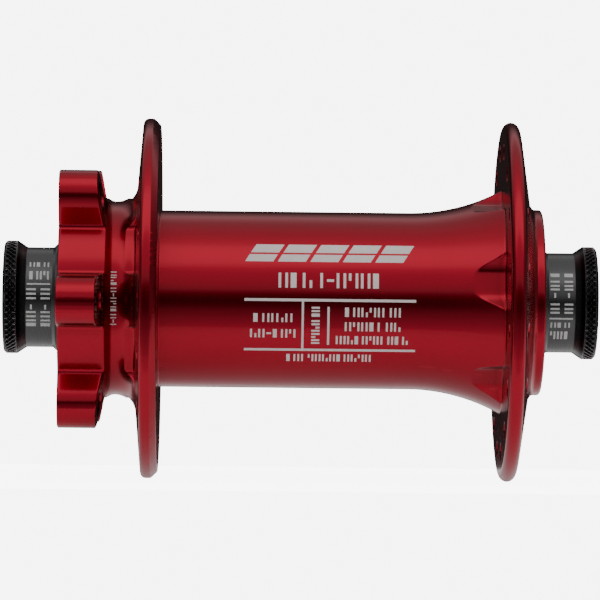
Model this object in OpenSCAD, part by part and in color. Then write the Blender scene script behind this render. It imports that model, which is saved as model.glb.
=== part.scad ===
// Front bicycle hub for a 15 mm thru axle and a six-bolt brake disc.
// The hub's axis is X, the disc side is -X, +Z is up, and the origin is midway between the end faces.

/* [Hub] */
// Distance between the two end faces that the fork clamps
end_to_end = 110; // [109:0.5:112]
// Diameter of the thru axle's bore
axle_bore_d = 15.1; // [15:0.05:15.3]

/* [Barrel] */
// Outside diameter of the barrel
barrel_d = 32.9; // [32:0.1:34]
// Diameter of the cavity between the bearings
cavity_d = 28; // [27:0.5:29]

/* [Flanges] */
// Outside diameter of both flanges
flange_d = 67; // [66:0.5:70]
// Distance from the centre plane to the left flange's inner face
left_flange_x = 26.2; // [25.6:0.1:26.8]
// Distance from the centre plane to the right flange's inner face
right_flange_x = 37.4; // [37:0.05:38]
// Thickness of the flanges at the rim
flange_t = 3.2; // [3:0.1:3.4]
// Number of spoke holes in each flange
spoke_count = 16; // [12:2:20]
// Diameter of the circle that the left flange's spoke holes lie on
left_spoke_pcd = 58; // [57.5:0.5:59]
// Diameter of the circle that the right flange's spoke holes lie on
right_spoke_pcd = 56.6; // [55.4:0.2:56.8]
// Diameter of a spoke hole
spoke_hole_d = 2.6; // [2.4:0.1:2.8]

/* [Disc mount] */
// Distance from the centre plane to the face that the disc bolts to
disc_face_x = 44.6; // [44.4:0.1:45]
// Thickness of the lobes at their tips
lobe_t = 7.1; // [6.8:0.1:7.4]
// Half width of a lobe, and the radius of its tip
lobe_r = 4.7; // [4.3:0.1:5]
// Radius of the valleys between the lobes
valley_r = 18.6; // [18.4:0.1:19]
// Angle from the -Y side, positive upwards, to the first lobe
lobe_turn = -1.4; // [-30:0.1:30]
// Diameter of the circle that the disc's bolts lie on
disc_pcd = 44; // [43.8:0.1:44.2]
// Diameter of a disc bolt hole
disc_hole_d = 5; // [4.2:0.1:5.2]

/* [Right flare] */
// Place along the axis where the barrel begins to widen
flare_x = 20.1; // [19:0.1:21]
// Radius of the flare's curve
flare_r = 36; // [34:0.5:38]
// Distance from the axis to a pocket's flat floor
pocket_floor = 18.3; // [18.2:0.1:18.8]
// Width of a pocket's floor
pocket_w = 5.3; // [4.5:0.1:6]
// Angle between a pocket's side wall and its floor
pocket_slope = 33; // [30:1:45]
// Angle from the -Y side, positive upwards, to the first pocket
pocket_turn = 11; // [0:0.5:60]
// Distance from the centre plane to the shell's right end
right_end_x = 44.8; // [44.6:0.1:45.2]
// Diameter of the boss at the right end
boss_d = 34.6; // [34.2:0.1:35]

/* [Bearings] */
// Bore of each bearing
bearing_bore_d = 20; // [19.9:0.1:20.1]
// Outside diameter of each bearing
bearing_d = 32; // [31.9:0.1:32.1]
// Width of each bearing
bearing_w = 7; // [6.9:0.1:7.1]
// Distance from the centre plane to a bearing's inboard face
bearing_x = 34.6; // [34.4:0.1:34.8]
// Number of balls in each bearing
ball_count = 14; // [8:1:18]
// Diameter of a ball
ball_d = 3.5; // [3.3:0.1:3.6]

/* [End caps] */
// Outside diameter of the knurled head
head_d = 21; // [20.5:0.1:21.5]
// Width of the knurled band
head_w = 2; // [1.8:0.1:2.6]
// Outside diameter of the neck
neck_d = 18.6; // [18.2:0.1:19]
// Diameter of the spigot that fits the bearing and the sleeve
spigot_d = 19.94; // [19.9:0.01:19.96]
// Distance from the centre plane to the spigot's inner end
spigot_x = 29.6; // [28:0.1:30.5]
// Distance from the centre plane to the O-ring's groove
o_ring_x = 32; // [31.8:0.1:32.6]

/* [Hidden] */
$fn = 96;

RED = [0.62, 0.01, 0.05];
BLACK = [0.07, 0.07, 0.08];
STEEL = [0.72, 0.73, 0.75];
BRASS = [0.72, 0.56, 0.28];
RUBBER = [0.10, 0.10, 0.10];
SEAL_BLUE = [0.10, 0.16, 0.30];

end_x = end_to_end / 2;
barrel_r = barrel_d / 2;
flange_r = flange_d / 2;
boss_r = boss_d / 2;
seat_r = bearing_d / 2;
bearing_bore_r = bearing_bore_d / 2;
bearing_mid_x = bearing_x + bearing_w / 2;
bearing_out_x = bearing_x + bearing_w;

// The groove between the disc mount and the left flange
groove_r = 18;
groove_left_cove = 2.2;
groove_right_cove = 4;
left_outer_x = left_flange_x + flange_t;
groove_right_x = left_outer_x + 0.9;
groove_left_x = groove_right_x + groove_left_cove + groove_right_cove;
lobe_back_x = disc_face_x - lobe_t;
lobe_back_r = 26;
lobe_cove = 1;
valley_end_x = groove_right_x - 0.1;

// The flanges' rims
rim_round = 1;
rim_chamfer = 1.2;
right_rim_round = 1.45;

// The right flange's dished outer face and the boss beyond it
dish_r = 18.3;
dish_x = 42.4;
boss_root = 0.6;
boss_round = 0.6;

// How far a dished face stands beyond the rim's plane at its spoke holes
left_dish_rise = 0.3;
right_dish_rise = 0.45;

// The bearings' inner shapes
pitch_r = (bearing_bore_d + bearing_d) / 4;
race_gap = 0.05;
race_groove_r = ball_d / 2 + race_gap;
ring_t = 1.8;
seal_t = 0.5;
seal_inset = 0.15;
seal_seat = 0.45;

// The parts of an end cap that lie inside the shell
collar_r = 11.7;
collar_x = 44;
collar_flare = 0.6;
collar_flare_x = 45.9;
head_cone_w = 1.8;
head_chamfer = 0.45;
spigot_chamfer = 0.4;
o_ring_d = 1;
o_ring_groove_w = 1.3;
sleeve_r = 11.6;
running_gap = 0.05;
through = 1;

// Turns shapes drawn about Z so that they lie about the hub's axis, with drawn x up and drawn z along +X
module along_hub() {
    rotate([0, 90, 0])
        rotate([0, 0, 180])
            children();
}

// Solid of revolution about the hub's axis from a half profile drawn as [radius, place along the axis]
module turned() {
    along_hub()
        rotate_extrude()
            children();
}

// Straight bar along the hub's axis from a cross-section drawn with x towards the -Y side and y upwards
module barred(from_x, to_x) {
    translate([to_x, 0, 0])
        rotate([90, 0, -90])
            linear_extrude(to_x - from_x)
                children();
}

// Turns a shape that lies on the -Y side upwards about the hub's axis, and moves it out to a radius
module placed(angle, radius) {
    rotate([-angle, 0, 0])
        translate([0, -radius, 0])
            children();
}

// Plain cylinder on the hub's axis
module rod(r, from_x, to_x) {
    turned()
        translate([0, from_x])
            square([r, to_x - from_x]);
}

// Tube on the hub's axis
module tube(outer_r, inner_r, from_x, to_x) {
    turned()
        translate([inner_r, from_x])
            square([outer_r - inner_r, to_x - from_x]);
}

// What a round cutter leaves in an inside corner, with the corner at the origin
module cove(r) {
    difference() {
        square(r);
        translate([r, r])
            circle(r);
    }
}

// Copies a shape to the other end of the hub
module right_side() {
    mirror([1, 0, 0])
        children();
}

// Half profile of the disc mount, the groove behind it and the left flange
module left_profile() {
    polygon([
        [0, -disc_face_x],
        [lobe_back_r + lobe_r, -disc_face_x],
        [lobe_back_r + lobe_r, -lobe_back_x],
        [lobe_back_r, -lobe_back_x],
        [groove_r + groove_left_cove, -groove_left_x],
        [groove_r, -groove_left_x],
        [groove_r, -groove_right_x],
        [groove_r + groove_right_cove, -groove_right_x],
        [flange_r - rim_round, -left_outer_x],
        [flange_r - rim_round, rim_round - left_outer_x],
        [flange_r, rim_round - left_outer_x],
        [flange_r, -left_flange_x - rim_chamfer],
        [flange_r - rim_chamfer, -left_flange_x],
        [0, -left_flange_x]
    ]);
    translate([flange_r - rim_round, rim_round - left_outer_x])
        circle(rim_round);
    translate([groove_r, -groove_left_x])
        cove(groove_left_cove);
    translate([groove_r, -groove_right_x])
        mirror([0, 1])
            cove(groove_right_cove);
}

// Half profile of the barrel and of the flare that carries the right flange
module barrel_profile() {
    translate([0, -left_flange_x])
        square([barrel_r, left_flange_x + flare_x]);
    difference() {
        translate([0, flare_x])
            square([barrel_r + 6, right_flange_x - flare_x]);
        translate([barrel_r + flare_r, flare_x])
            circle(flare_r);
    }
}

// Half profile of the right flange and the boss
module right_profile() {
    polygon([
        [0, right_flange_x],
        [flange_r - right_rim_round, right_flange_x],
        [flange_r - right_rim_round, right_flange_x + 2 * right_rim_round],
        [dish_r, dish_x],
        [boss_r + boss_root, dish_x + 0.1],
        [boss_r, dish_x + 0.1 + boss_root],
        [boss_r, right_end_x - boss_round],
        [boss_r - boss_round, right_end_x - boss_round],
        [boss_r - boss_round, right_end_x],
        [0, right_end_x]
    ]);
    translate([flange_r - right_rim_round, right_flange_x + right_rim_round])
        circle(right_rim_round);
    translate([boss_r - boss_round, right_end_x - boss_round])
        circle(boss_round);
}

// Cross-section of the disc mount: a round core with six lobes and a small cove at each side of a lobe.
// Each cove's circle bites a little into the core, so that the two curves cross and don't just touch.
module lobed_section() {
    cove_bite = 0.03;
    cove_x = sqrt(pow(valley_r + lobe_cove - cove_bite, 2) - pow(lobe_r + lobe_cove, 2));
    centre = [cove_x, lobe_r + lobe_cove];
    circle(valley_r);
    for (i = [0:5])
        rotate(lobe_turn + 60 * i) {
            translate([disc_pcd / 2, 0])
                circle(lobe_r);
            translate([0, -lobe_r])
                square([disc_pcd / 2, 2 * lobe_r]);
            for (side = [0, 1])
                mirror([0, side])
                    difference() {
                        polygon([
                            [0, 0],
                            [cove_x, lobe_r],
                            centre,
                            centre * valley_r / (valley_r + lobe_cove)
                        ]);
                        translate(centre)
                            circle(lobe_cove);
                    }
        }
}

// Cross-section of one pocket in the flare
module pocket_section() {
    rise = 5;
    run = rise / tan(pocket_slope);
    polygon([
        [pocket_floor, -pocket_w / 2],
        [pocket_floor, pocket_w / 2],
        [pocket_floor + rise, pocket_w / 2 + run],
        [pocket_floor + rise, -pocket_w / 2 - run]
    ]);
}

// Spoke holes of one flange, each slightly countersunk on both faces
module spoke_holes(low_x, high_x, pcd, turn) {
    r = spoke_hole_d / 2;
    sink = 0.4;
    for (i = [0:spoke_count - 1])
        placed(turn + 360 * i / spoke_count, pcd / 2)
            turned()
                polygon([
                    [0, low_x - through],
                    [r + sink + through, low_x - through],
                    [r, low_x + sink],
                    [r, high_x - sink],
                    [r + sink + through, high_x + through],
                    [0, high_x + through]
                ]);
}

// Shell: barrel, flanges and disc mount cut from one bar
module hub_shell() {
    left_face_x = left_outer_x + left_dish_rise;
    right_face_x = right_flange_x + 2 * right_rim_round + right_dish_rise;
    color(RED)
        difference() {
            turned() {
                left_profile();
                barrel_profile();
                right_profile();
            }
            barred(-disc_face_x - through, -valley_end_x)
                difference() {
                    circle(lobe_back_r + lobe_r + through);
                    lobed_section();
                }
            for (i = [0:5])
                barred(flare_x, right_flange_x)
                    rotate(pocket_turn + 60 * i)
                        pocket_section();
            rod(cavity_d / 2, -bearing_x - through, bearing_x + through);
            rod(seat_r, -disc_face_x - through, -bearing_x);
            rod(seat_r, bearing_x, right_end_x + through);
            for (i = [0:5])
                placed(lobe_turn + 60 * i, disc_pcd / 2)
                    rod(disc_hole_d / 2, -disc_face_x - through, -groove_left_x + 0.6);
            spoke_holes(-left_face_x, -left_flange_x, left_spoke_pcd, 0);
            spoke_holes(right_flange_x, right_face_x, right_spoke_pcd, 180 / spoke_count);
        }
}

// Sleeve that keeps the two bearings' inner rings apart
module axle_sleeve() {
    bevel = 0.3;
    color(BLACK)
        turned()
            polygon([
                [bearing_bore_r + bevel, -bearing_x],
                [sleeve_r, -bearing_x],
                [sleeve_r, bearing_x],
                [bearing_bore_r + bevel, bearing_x],
                [bearing_bore_r, bearing_x - bevel],
                [bearing_bore_r, bevel - bearing_x]
            ]);
}

// Right end cap: knurled head, neck, collar that presses on the bearing, and spigot
module end_cap() {
    bore_r = axle_bore_d / 2;
    spigot_r = spigot_d / 2;
    head_r = head_d / 2;
    neck_r = neck_d / 2;
    band_x = end_x - head_chamfer - head_w;
    groove_bottom = spigot_r - o_ring_d;
    color(BLACK)
        turned()
            polygon([
                [bore_r, spigot_x],
                [spigot_r - spigot_chamfer, spigot_x],
                [spigot_r, spigot_x + spigot_chamfer],
                [spigot_r, o_ring_x - o_ring_groove_w / 2],
                [groove_bottom, o_ring_x - o_ring_groove_w / 2],
                [groove_bottom, o_ring_x + o_ring_groove_w / 2],
                [spigot_r, o_ring_x + o_ring_groove_w / 2],
                [spigot_r, bearing_out_x],
                [collar_r, bearing_out_x],
                [collar_r, collar_x],
                [neck_r + collar_flare, collar_x],
                [neck_r + collar_flare, collar_flare_x - collar_flare],
                [neck_r, collar_flare_x],
                [neck_r, band_x - head_cone_w],
                [head_r, band_x],
                [head_r, end_x - head_chamfer],
                [head_r - head_chamfer, end_x],
                [bore_r + 0.3, end_x],
                [bore_r, end_x - 0.3]
            ]);
}

// O-ring that holds a cap in the sleeve
module cap_o_ring() {
    color(RUBBER)
        turned()
            translate([(spigot_d - o_ring_d) / 2, o_ring_x])
                circle(o_ring_d / 2);
}

// Rubber ring that keeps dirt out between the shell and the cap's collar
module dust_seal() {
    color(RUBBER)
        turned()
            polygon([
                [collar_r + running_gap, bearing_out_x + 0.4],
                [seat_r, bearing_out_x + 0.4],
                [seat_r, collar_x],
                [collar_r + 1.2, collar_x],
                [collar_r + running_gap, collar_x - 0.5]
            ]);
}

// Outer ring of a bearing, with its raceway and the seals' seats
module bearing_outer_ring() {
    inner_r = seat_r - ring_t;
    edge = 0.3;
    color(STEEL)
        turned()
            difference() {
                polygon([
                    [inner_r + seal_seat, bearing_x],
                    [seat_r - edge, bearing_x],
                    [seat_r, bearing_x + edge],
                    [seat_r, bearing_out_x - edge],
                    [seat_r - edge, bearing_out_x],
                    [inner_r + seal_seat, bearing_out_x],
                    [inner_r + seal_seat, bearing_out_x - seal_inset - seal_t],
                    [inner_r, bearing_out_x - seal_inset - seal_t],
                    [inner_r, bearing_x + seal_inset + seal_t],
                    [inner_r + seal_seat, bearing_x + seal_inset + seal_t]
                ]);
                translate([pitch_r, bearing_mid_x])
                    circle(race_groove_r);
            }
}

// Inner ring of a bearing, with its raceway
module bearing_inner_ring() {
    outer_r = bearing_bore_r + ring_t;
    edge = 0.3;
    color(STEEL)
        turned()
            difference() {
                polygon([
                    [bearing_bore_r, bearing_x + edge],
                    [bearing_bore_r + edge, bearing_x],
                    [outer_r, bearing_x],
                    [outer_r, bearing_out_x],
                    [bearing_bore_r + edge, bearing_out_x],
                    [bearing_bore_r, bearing_out_x - edge]
                ]);
                translate([pitch_r, bearing_mid_x])
                    circle(race_groove_r);
            }
}

// Balls of a bearing
module bearing_balls() {
    color(STEEL)
        for (i = [0:ball_count - 1])
            placed(360 * i / ball_count, pitch_r)
                translate([bearing_mid_x, 0, 0])
                    sphere(ball_d / 2);
}

// Cage that spaces the balls
module bearing_cage() {
    cage_t = 0.9;
    cage_w = ball_d + 0.9;
    color(BRASS)
        difference() {
            tube(pitch_r + cage_t / 2, pitch_r - cage_t / 2, bearing_mid_x - cage_w / 2, bearing_mid_x + cage_w / 2);
            for (i = [0:ball_count - 1])
                placed(360 * i / ball_count, pitch_r)
                    translate([bearing_mid_x, 0, 0])
                        rotate([90, 0, 0])
                            cylinder(r = race_groove_r, h = 4 * cage_t, center = true);
        }
}

// Seal in one side of a bearing, held in the outer ring's seat
module bearing_seal(from_x) {
    inner_r = bearing_bore_r + ring_t + running_gap;
    outer_r = seat_r - ring_t + seal_seat;
    color(SEAL_BLUE)
        tube(outer_r, inner_r, from_x, from_x + seal_t);
}

// Inboard seal of a bearing
module bearing_inboard_seal() {
    bearing_seal(bearing_x + seal_inset);
}

// Outboard seal of a bearing
module bearing_outboard_seal() {
    bearing_seal(bearing_out_x - seal_inset - seal_t);
}

hub_shell();
axle_sleeve();
right_side() end_cap();  // left_end_cap
end_cap();  // right_end_cap
right_side() cap_o_ring();  // left_cap_o_ring
cap_o_ring();  // right_cap_o_ring
right_side() dust_seal();  // left_dust_seal
dust_seal();  // right_dust_seal
right_side() bearing_outer_ring();  // left_bearing_outer_ring
bearing_outer_ring();  // right_bearing_outer_ring
right_side() bearing_inner_ring();  // left_bearing_inner_ring
bearing_inner_ring();  // right_bearing_inner_ring
right_side() bearing_balls();  // left_bearing_balls
bearing_balls();  // right_bearing_balls
right_side() bearing_cage();  // left_bearing_cage
bearing_cage();  // right_bearing_cage
right_side() bearing_inboard_seal();  // left_bearing_inboard_seal
bearing_inboard_seal();  // right_bearing_inboard_seal
right_side() bearing_outboard_seal();  // left_bearing_outboard_seal
bearing_outboard_seal();  // right_bearing_outboard_seal
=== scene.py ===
from math import asin, atan2, cos, degrees, hypot, pi, radians, sin, sqrt, tan, tau

import bpy
from mathutils import Matrix, Vector


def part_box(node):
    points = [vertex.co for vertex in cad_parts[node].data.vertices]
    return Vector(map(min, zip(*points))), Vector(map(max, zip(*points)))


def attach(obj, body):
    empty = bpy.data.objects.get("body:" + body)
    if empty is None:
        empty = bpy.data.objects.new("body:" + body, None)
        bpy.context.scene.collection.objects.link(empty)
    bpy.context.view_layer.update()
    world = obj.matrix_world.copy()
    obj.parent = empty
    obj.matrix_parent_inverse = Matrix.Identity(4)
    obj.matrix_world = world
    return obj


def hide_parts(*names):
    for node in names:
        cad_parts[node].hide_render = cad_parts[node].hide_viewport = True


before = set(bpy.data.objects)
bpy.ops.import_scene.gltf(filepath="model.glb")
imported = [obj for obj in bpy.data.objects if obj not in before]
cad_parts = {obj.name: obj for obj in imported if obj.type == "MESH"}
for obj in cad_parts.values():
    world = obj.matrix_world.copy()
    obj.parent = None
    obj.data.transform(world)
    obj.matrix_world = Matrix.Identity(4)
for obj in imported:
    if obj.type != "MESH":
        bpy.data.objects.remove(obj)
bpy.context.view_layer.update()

MM = 0.001

# ---- Camera ----
# A long lens level with the hub's axis, a little to the disc side of its middle, with the hub
# filling the width of the frame and tipped very slightly down to the right.
VIEW_DISTANCE = 0.800
VIEW_SIDE = -0.012
VIEW_ROLL = radians(0.64)
LENS_MM = 257.4

bpy.ops.object.camera_add(location=(VIEW_SIDE, -VIEW_DISTANCE, 0))
camera = bpy.context.object
camera.name = "hub_camera"
camera.data.lens = LENS_MM
camera.data.sensor_width = 36
camera.data.clip_start = 0.05
aim = (-camera.location).to_track_quat("-Z", "Y")
camera.rotation_mode = "QUATERNION"
camera.rotation_quaternion = aim @ Matrix.Rotation(VIEW_ROLL, 3, "Z").to_quaternion()
bpy.context.scene.camera = camera

# ---- Hub shell ----
# One piece of aluminium: turned from bar, then milled between the disc mount's lobes and in six
# pockets of the right flare, drilled, polished and anodised red. The edges are broken by hand.
shell_low, shell_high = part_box("hub_shell")
LEFT_FACE = shell_low.x / MM
RIGHT_FACE = shell_high.x / MM
FLANGE_R = shell_high.z / MM
BARREL_R = 16.45
SEAT_R = 16.0
SEAT_CHAMFER = 0.3
CAVITY_R = 14.0
SEAT_X = 34.6

LOBE_TURN = -1.4
LOBE_R = 4.7
BOLT_R = 22.0
VALLEY_R = 18.6
LOBE_COVE = 1.0
LOBE_BACK = LEFT_FACE + 7.1
LOBE_BACK_R = 26.0

GROOVE_X = -34.3
GROOVE_R = 18.0
BACK_COVE = 2.2
FLANGE_COVE = 4.0
VALLEY_END = -30.2
VALLEY_FILLET = 0.8
CONE_R = GROOVE_R + 5.2
LEFT_INNER = -26.2
LEFT_OUTER = -29.4
LEFT_RIM = 1.0
LEFT_ROOT = 0.25

POCKET_TURN = 11.0
POCKET_FLOOR = 18.3
POCKET_HALF_W = 2.65
POCKET_SLOPE = radians(33)
POCKET_FILLET = 0.7
POCKET_EDGE = 0.1
FLARE_X = 20.1
FLARE_R = 36.0
FLARE_ROOT = 0.5
RIGHT_INNER = 37.4
RIGHT_RIM = 1.45
DISH_R = 18.3
DISH_X = 42.4
BOSS_R = 17.3
BOSS_ROUND = 0.6

EDGE_BREAK = 0.32
EDGE_FINE = 0.18
SUPPORT = 0.25


def spread(start, end, steps):
    """Evenly spaced values from start to end, both included."""
    return [start + (end - start) * i / steps for i in range(steps + 1)]


def arc(x, r, radius, start, end, steps):
    """Points of an arc about (x, r); angles are in degrees, 0 along the axis and 90 outwards."""
    return [
        (x + radius * cos(radians(a)), r + radius * sin(radians(a)))
        for a in spread(start, end, steps)
    ]


def line(start, end, steps):
    """Points of a straight stretch without its first point, which the stretch before it already has."""
    return [
        (start[0] + (end[0] - start[0]) * i / steps, start[1] + (end[1] - start[1]) * i / steps)
        for i in range(1, steps + 1)
    ]


def from_nearest(angle, first):
    """Angle in degrees to the nearest of six places spaced round the hub."""
    return abs((angle - first + 30) % 60 - 30)


cove_x = sqrt((VALLEY_R + LOBE_COVE) ** 2 - (LOBE_R + LOBE_COVE) ** 2)
cove_angle = degrees(atan2(LOBE_R + LOBE_COVE, cove_x))
side_in = degrees(atan2(LOBE_R, cove_x))
side_out = degrees(atan2(LOBE_R, BOLT_R))


def lobe_reach(angle):
    """How far the milled outline of the disc mount reaches at one angle round the hub."""
    u = from_nearest(angle, LOBE_TURN)
    if u <= side_out:
        return BOLT_R * cos(radians(u)) + sqrt(LOBE_R**2 - (BOLT_R * sin(radians(u))) ** 2)
    if u <= side_in:
        return LOBE_R / sin(radians(u))
    if u < cove_angle:
        off = radians(cove_angle - u)
        centre = VALLEY_R + LOBE_COVE
        return centre * cos(off) - sqrt(max(LOBE_COVE**2 - (centre * sin(off)) ** 2, 0))
    return VALLEY_R


def pocket_reach(angle):
    """How far out metal is left by the pocket cutter at one angle, with a fillet beside the floor."""
    u = radians(from_nearest(angle, POCKET_TURN))
    floor = POCKET_FLOOR / cos(u)
    slope = tan(POCKET_SLOPE)
    wall = (POCKET_FLOOR / slope - POCKET_HALF_W) / (cos(u) / slope - sin(u))
    near = max(POCKET_FILLET - abs(floor - wall), 0) / POCKET_FILLET
    return max(floor, wall) + near * near * POCKET_FILLET / 4


def back_x(r):
    """Where the disc mount's sloping back and the cove below it lie at a radius."""
    top = GROOVE_R + BACK_COVE
    foot = GROOVE_X - BACK_COVE
    if r >= LOBE_BACK_R:
        return LOBE_BACK
    if r >= top:
        return foot + (LOBE_BACK - foot) * (r - top) / (LOBE_BACK_R - top)
    return GROOVE_X - sqrt(max(BACK_COVE**2 - (top - r) ** 2, 0))


def flange_outer_x(r):
    """Where the left flange's dished outer face lies at a radius."""
    start_x, start_r = GROOVE_X + FLANGE_COVE, GROOVE_R + FLANGE_COVE
    return start_x + (LEFT_OUTER - start_x) * (r - start_r) / (FLANGE_R - LEFT_RIM - start_r)


def mount_rows(angle):
    """Outline of the disc mount and the left flange's outer face at one angle, as (x, r, sideways) rows."""
    reach = lobe_reach(angle)
    step = 0.05
    rise = (lobe_reach(angle + step) - lobe_reach(angle - step)) / radians(2 * step)
    size = hypot(reach, rise)
    out, side = reach / size, -rise / size

    def inset(x, depth):
        return (x, reach - depth * out, -depth * side)

    face_r = SEAT_R + 2 * SEAT_CHAMFER
    edge = inset(LEFT_FACE, EDGE_BREAK + SUPPORT)
    rows = [(LEFT_FACE + SEAT_CHAMFER, SEAT_R, 0), (LEFT_FACE, SEAT_R + SEAT_CHAMFER, 0)]
    rows.append((LEFT_FACE, face_r, 0))
    rows.append((LEFT_FACE, (face_r + edge[1]) / 2, edge[2] / 2))
    rows.append(edge)
    for turn in (0, 30, 60, 90):
        a = radians(turn)
        rows.append(inset(LEFT_FACE + EDGE_BREAK * (1 - cos(a)), EDGE_BREAK * (1 - sin(a))))
    back = back_x(reach)
    for x in spread(LEFT_FACE + EDGE_BREAK + SUPPORT, back - EDGE_FINE - SUPPORT, 4):
        rows.append((x, reach, 0))
    rows.append((back - EDGE_FINE, reach, 0))
    rows.append((back - EDGE_FINE * 0.3, reach - EDGE_FINE * 0.3 * out, -EDGE_FINE * 0.3 * side))
    low = reach - EDGE_FINE * out
    rows.append((back_x(low), low, -EDGE_FINE * side))
    low = reach - (EDGE_FINE + SUPPORT) * out
    top = GROOVE_R + BACK_COVE
    shift = -(EDGE_FINE + SUPPORT) * side
    for i, r in enumerate(spread(low, min(low, top), 5)):
        rows.append((back_x(r), r, shift * (1 - i / 5)))
    start = degrees(asin(min(max((top - min(low, top)) / BACK_COVE, -1), 1)))
    rows += [(x, r, 0) for x, r in arc(GROOVE_X, top, BACK_COVE, 180 + start, 270, 9)[1:]]

    cove_r = GROOVE_R + FLANGE_COVE
    end_r = min(reach, cove_r)
    end = -degrees(asin((cove_r - end_r) / FLANGE_COVE))
    rows += [(x, r, 0) for x, r in arc(GROOVE_X, cove_r, FLANGE_COVE, -90, end, 9)[1:]]
    last = min(reach, CONE_R) if reach > cove_r else end_r
    for r in spread(end_r, last, 2)[1:]:
        rows.append((flange_outer_x(r) if r > cove_r else rows[-1][0], r, 0))
    x0, r0 = rows[-1][0], rows[-1][1]
    wall_x = max(VALLEY_END, x0)
    fillet = max(min(VALLEY_FILLET, (wall_x - x0) * 0.7, (CONE_R - r0) * 0.5), 0)
    rows += [(x, r, 0) for x, r in line((x0, r0), (wall_x - fillet, r0), 3)]
    rows += [(x, r, 0) for x, r in arc(wall_x - fillet, r0 + fillet, fillet, -90, 0, 4)[1:]]
    cone_x = flange_outer_x(CONE_R)
    rows += [(x, r, 0) for x, r in line((wall_x, r0 + fillet), (cone_x, CONE_R), 3)]
    for r in spread(CONE_R, FLANGE_R - LEFT_RIM - SUPPORT, 6)[1:]:
        rows.append((flange_outer_x(r), r, 0))
    return rows


def flare_x(r):
    """Where the flare reaches a radius."""
    centre = BARREL_R + FLARE_R
    return FLARE_X + sqrt(max(FLARE_R**2 - (centre - r) ** 2, 0))


def flare_reach(x):
    """Radius of the barrel and its flare at a place along the axis."""
    if x <= FLARE_X:
        return BARREL_R
    return BARREL_R + FLARE_R - sqrt(FLARE_R**2 - (x - FLARE_X) ** 2)


def flare_rows(angle):
    """Outline of the flare at one angle, cut down to the pocket where the pocket is deeper."""
    pocket = pocket_reach(angle)
    end = RIGHT_INNER - FLARE_ROOT
    edge = min(flare_x(pocket), end - 0.6)

    def reach(x):
        flare = flare_reach(x)
        near = max(POCKET_EDGE - abs(flare - pocket), 0) / POCKET_EDGE
        return min(flare, pocket) - near * near * POCKET_EDGE / 4

    places = spread(FLARE_X, edge - 0.5, 18)[1:]
    places += [edge - 0.3, edge - 0.12, edge, edge + 0.12, edge + 0.3]
    places += spread(edge + 0.3, end, 6)[1:]
    rows = [(x, reach(x), 0) for x in places]
    foot = reach(end) + FLARE_ROOT
    rows += [(x, r, 0) for x, r in arc(end, foot, FLARE_ROOT, -90, 0, 4)[1:]]
    for r in spread(foot, FLANGE_R - RIGHT_RIM - SUPPORT, 6)[1:]:
        rows.append((RIGHT_INNER, r, 0))
    return rows


def plain_rows(points):
    """Rows that are the same all the way round."""
    return [(x, r, 0) for x, r in points]


rim_r = FLANGE_R - LEFT_RIM
left_rim = arc(LEFT_OUTER + LEFT_RIM, rim_r, LEFT_RIM, 180, 90, 6)
left_rim += line(left_rim[-1], (LEFT_INNER - 1.4, FLANGE_R), 2)
left_rim += [(LEFT_INNER - 1.18, FLANGE_R - 0.06), (LEFT_INNER - 0.12, rim_r - 0.08)]
left_rim += [(LEFT_INNER, rim_r - 0.3)]
left_inner_face = line(left_rim[-1], (LEFT_INNER, BARREL_R + 0.6), 6)
left_inner_face += arc(LEFT_INNER + LEFT_ROOT, BARREL_R + LEFT_ROOT, LEFT_ROOT, 180, 270, 3)
barrel = line(left_inner_face[-1], (FLARE_X, BARREL_R), 14)
right_rim_x = RIGHT_INNER + RIGHT_RIM
right_rim_r = FLANGE_R - RIGHT_RIM
right_rim = arc(right_rim_x, right_rim_r, RIGHT_RIM, 180, 4, 12)
dish = line(right_rim[-1], (DISH_X - 0.05, DISH_R + 0.35), 7)
boss = [(DISH_X + 0.04, DISH_R + 0.1), (DISH_X + 0.2, DISH_R - 0.15), (DISH_X + 0.7, BOSS_R + 0.12)]
boss += [(DISH_X + 0.95, BOSS_R), (DISH_X + 1.2, BOSS_R)]
boss += arc(RIGHT_FACE - BOSS_ROUND, BOSS_R - BOSS_ROUND, BOSS_ROUND, 90, 0, 5)
boss += [(RIGHT_FACE, SEAT_R + 1.5 * SEAT_CHAMFER), (RIGHT_FACE, SEAT_R + SEAT_CHAMFER)]
boss += [(RIGHT_FACE - SEAT_CHAMFER, SEAT_R)]
bore = [(RIGHT_FACE - 2 * SEAT_CHAMFER, SEAT_R), (SEAT_X + 0.1, SEAT_R), (SEAT_X, SEAT_R - 0.1)]
bore += [(SEAT_X, CAVITY_R + SEAT_CHAMFER), (SEAT_X - SEAT_CHAMFER, CAVITY_R)]
bore += line((SEAT_X - SEAT_CHAMFER, CAVITY_R), (SEAT_CHAMFER - SEAT_X, CAVITY_R), 8)
bore += [(-SEAT_X, CAVITY_R + SEAT_CHAMFER), (-SEAT_X, SEAT_R - 0.1), (-SEAT_X - 0.1, SEAT_R)]
bore += [(LEFT_FACE + 2 * SEAT_CHAMFER, SEAT_R)]


def shell_rows(angle):
    """The shell's whole outline at one angle: outside from left to right, then back through the bore."""
    rows = mount_rows(angle) + plain_rows(left_rim + left_inner_face + barrel)
    return rows + flare_rows(angle) + plain_rows(right_rim + dish + boss + bore)


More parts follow.
